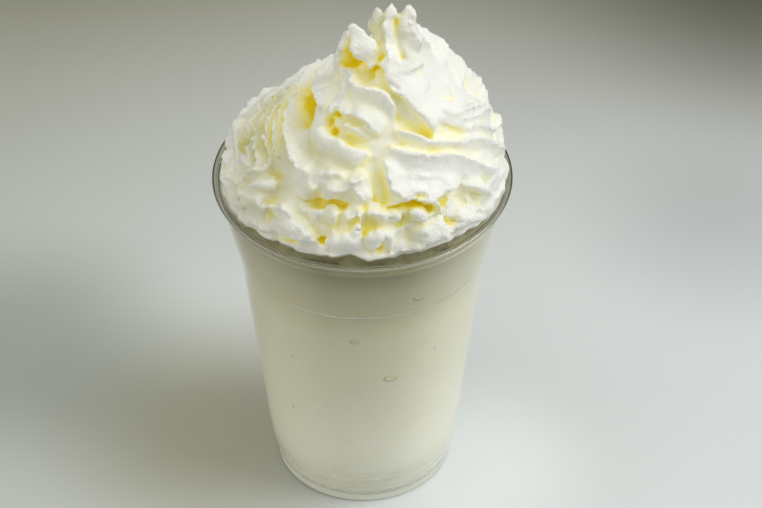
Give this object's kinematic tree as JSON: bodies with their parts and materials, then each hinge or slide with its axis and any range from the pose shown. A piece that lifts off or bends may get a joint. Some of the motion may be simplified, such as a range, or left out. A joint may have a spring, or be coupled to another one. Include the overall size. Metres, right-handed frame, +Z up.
{
  "type": "milkshake",
  "caption": "Milkshake in a tapered clear plastic cup with a rolled rim, heaped with a leaning swirl of piped whipped cream with ruffled folds and a drawn-up peak.",
  "frame": {"origin": "centre of the underside of the cup's foot, on the surface that it stands on", "axes": "+Z up along the cup's axis; -Y towards the viewer of the picture; +X to the right in the picture, the way that the cream leans"},
  "size_m": [0.098, 0.098, 0.1897],
  "materials": {
    "clear_plastic": "clear, thin, glossy plastic",
    "milkshake": "pale vanilla milkshake, satin and slightly see-through at the edge",
    "whipped_cream": "soft matt whipped cream, white on its crests and yellow in its deep folds"
  },
  "bodies": {
    "root": {"cup": "clear_plastic", "milkshake": "milkshake", "whipped_cream": "whipped_cream"}
  },
  "joints": []
}
